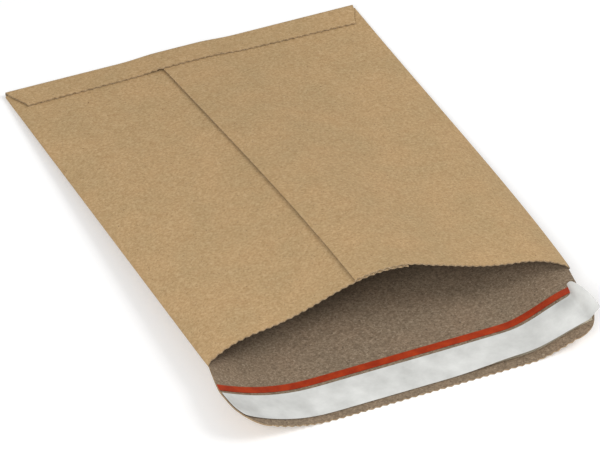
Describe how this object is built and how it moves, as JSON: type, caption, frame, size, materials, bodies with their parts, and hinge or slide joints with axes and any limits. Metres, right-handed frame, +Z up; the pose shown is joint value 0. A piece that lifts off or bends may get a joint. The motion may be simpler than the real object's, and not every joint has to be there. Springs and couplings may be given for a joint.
{
  "type": "mailing envelope",
  "caption": "Folded kraft board mailing envelope with a bowed open mouth, a lapped long seam and a closure flap carrying a tear tape and a peel-off sealing strip.",
  "frame": {"origin": "under the middle of the mouth line, on the face that the envelope lies on", "axes": "+Y from the mouth to the closed end, +Z up out of the face that rests, +X to the right as seen from the mouth side with the seam up"},
  "size_m": [0.2499, 0.387, 0.0452],
  "materials": {
    "kraft_board": "matte, fibrous",
    "tear_tape": "satin",
    "seal_adhesive": "satin",
    "release_liner": "smooth, slightly glossy",
    "seam_glue": "dried glue"
  },
  "bodies": {
    "root": {"envelope_sheet": "kraft_board", "tear_tape": "tear_tape", "seal_adhesive": "seal_adhesive", "release_liner": "release_liner", "seam_glue_line": "seam_glue", "bottom_glue_line": "seam_glue"}
  },
  "joints": []
}
